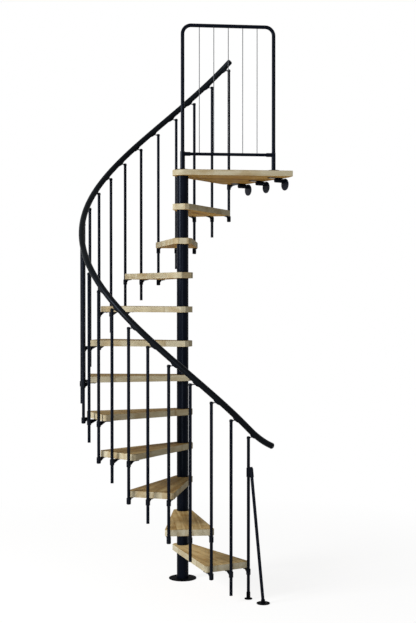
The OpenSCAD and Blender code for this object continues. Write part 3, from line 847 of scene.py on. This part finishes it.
# %% Galvanised pole and drawn wire
zinc, tree, shader = blank("galvanised")
coords = put(tree, "TexCoord").outputs["Object"]
spangle = put(tree, "TexVoronoi", {"Vector": coords, "Scale": 90.0})
zinc_tone = ramp(tree, spangle.outputs["Color"], (0.2, (0.27, 0.28, 0.30)), (0.8, (0.38, 0.39, 0.41)))
tree.links.new(zinc_tone, shader.inputs["Base Color"])
shader.inputs["Metallic"].default_value = 1.0
shader.inputs["Roughness"].default_value = 0.5

wire, tree, shader = blank("drawn_wire")
coords = put(tree, "TexCoord").outputs["Object"]
streak = noise(tree, coords, (1, 1, 0.02), 900.0, 2.0)
wire_tone = ramp(tree, streak, (0.3, (0.020, 0.021, 0.024)), (0.7, (0.050, 0.052, 0.056)))
tree.links.new(wire_tone, shader.inputs["Base Color"])
tree.links.new(graded(tree, streak, 0.0, 1.0, 0.25, 0.45), shader.inputs["Roughness"])
shader.inputs["Metallic"].default_value = 1.0

# %% [markdown]
# The finishes are given out by material slot, to the new pieces and to the CAD nodes that still show.
# A few pieces of coated steel have a finish of their own.

# %% Give out the finishes
by_slot = {"black_steel": coat, "black_fittings": moulded, "handrail_plastic": rail_skin,
           "pole_steel": zinc, "wire_steel": wire}
own_finish = {"floor_plate": plate_coat, "baluster_foot": plate_coat, "brace_floor_disc": plate_coat,
              "wall_anchor_discs": lit_disc_coat}
for piece in finished:
    if piece["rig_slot"] in by_slot:
        wear(piece, own_finish.get(piece.name, by_slot[piece["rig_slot"]]))
slots = {part["node"]: part["material_slot"] for part in frame["record"]["subparts"]}
shown = [node for node, obj in frame["nodes"].items() if not obj.hide_render]
for node in shown:
    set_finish(frame["nodes"][node], slots[node])
    wear(frame["nodes"][node], by_slot[slots[node]])
print("CAD nodes that show:", shown)

# %% [markdown]
# ## Stage and light
# The stair stands on a plain pale floor in front of a white surround. The floor is a matt plane. Seen by
# the camera it fades to the surround's white away from the stair, so there is no horizon, but near the
# stair it keeps the shadow.

# %% Floor
floor_size, floor_drop = 60, 0.001
shadow_r, white_r = 0.9, 3.2


def seen(tree):
    """1 for what the camera sees, directly, mirrored or through glass, and 0 for what only lights."""
    rays = put(tree, "LightPath").outputs
    either = sum_of(tree, "MAXIMUM", rays["Is Camera Ray"], rays["Is Glossy Ray"])
    return sum_of(tree, "MAXIMUM", either, rays["Is Transmission Ray"])


clear_picks()
bpy.ops.mesh.primitive_plane_add(size=floor_size, location=(0, 0, -floor_drop))
floor = added("floor")
pale_floor, tree, shader = blank("pale_floor")
shader.inputs["Base Color"].default_value = (0.80, 0.80, 0.80, 1)
shader.inputs["Roughness"].default_value = 0.9
shader.inputs["Specular IOR Level"].default_value = 0.1
coords = put(tree, "TexCoord").outputs["Object"]
away = put(tree, "VectorMath", {0: coords}, operation="LENGTH").outputs["Value"]
share = sum_of(tree, "MULTIPLY", seen(tree), graded(tree, away, shadow_r, white_r, 0.86, 1.0))
white = put(tree, "Emission", {"Color": (1, 1, 1, 1), "Strength": 1.0})
blend = put(tree, "MixShader", {0: share, 1: shader.outputs[0], 2: white.outputs[0]})
tree.links.new(blend.outputs[0], tree.nodes["Material Output"].inputs["Surface"])
wear(floor, pale_floor)

# %% [markdown]
# The surround is white where it is seen. Its light is weaker and a little warm, and comes evenly from all
# around, as in a studio with pale walls.

# %% Surround
world = bpy.data.worlds.new("surround")
bpy.context.scene.world = world
world.use_nodes = True
world.node_tree.nodes.clear()
soft = put(world.node_tree, "Background", {"Color": (1.0, 0.965, 0.90, 1), "Strength": 0.47})
plain = put(world.node_tree, "Background", {"Color": (1, 1, 1, 1), "Strength": 1.0})
blend = put(world.node_tree, "MixShader", {0: seen(world.node_tree), 1: soft.outputs[0], 2: plain.outputs[0]})
put(world.node_tree, "OutputWorld", {"Surface": blend.outputs[0]})

# %% [markdown]
# Large soft lamps stand in front, the stronger one to the left, so the boards' edges are their brightest
# faces and the column gets one broad soft highlight.

# %% Lamps
def lamp(name, at, aim, size, watts):
    """A square lamp that faces a point."""
    data = bpy.data.lights.new(name, "AREA")
    data.size, data.energy = size, watts
    light = bpy.data.objects.new(name, data)
    bpy.context.scene.collection.objects.link(light)
    light.location = at
    light.rotation_euler = (Vector(aim) - Vector(at)).to_track_quat("-Z", "Y").to_euler()
    print(name, watts, "W")


lamp("key", (-5.0, -3.2, 3.6), (0, 0, 2.0), 2.2, 660)
lamp("fill", (-1.0, -7.5, 1.0), (0, 0, 1.2), 2.5, 210)
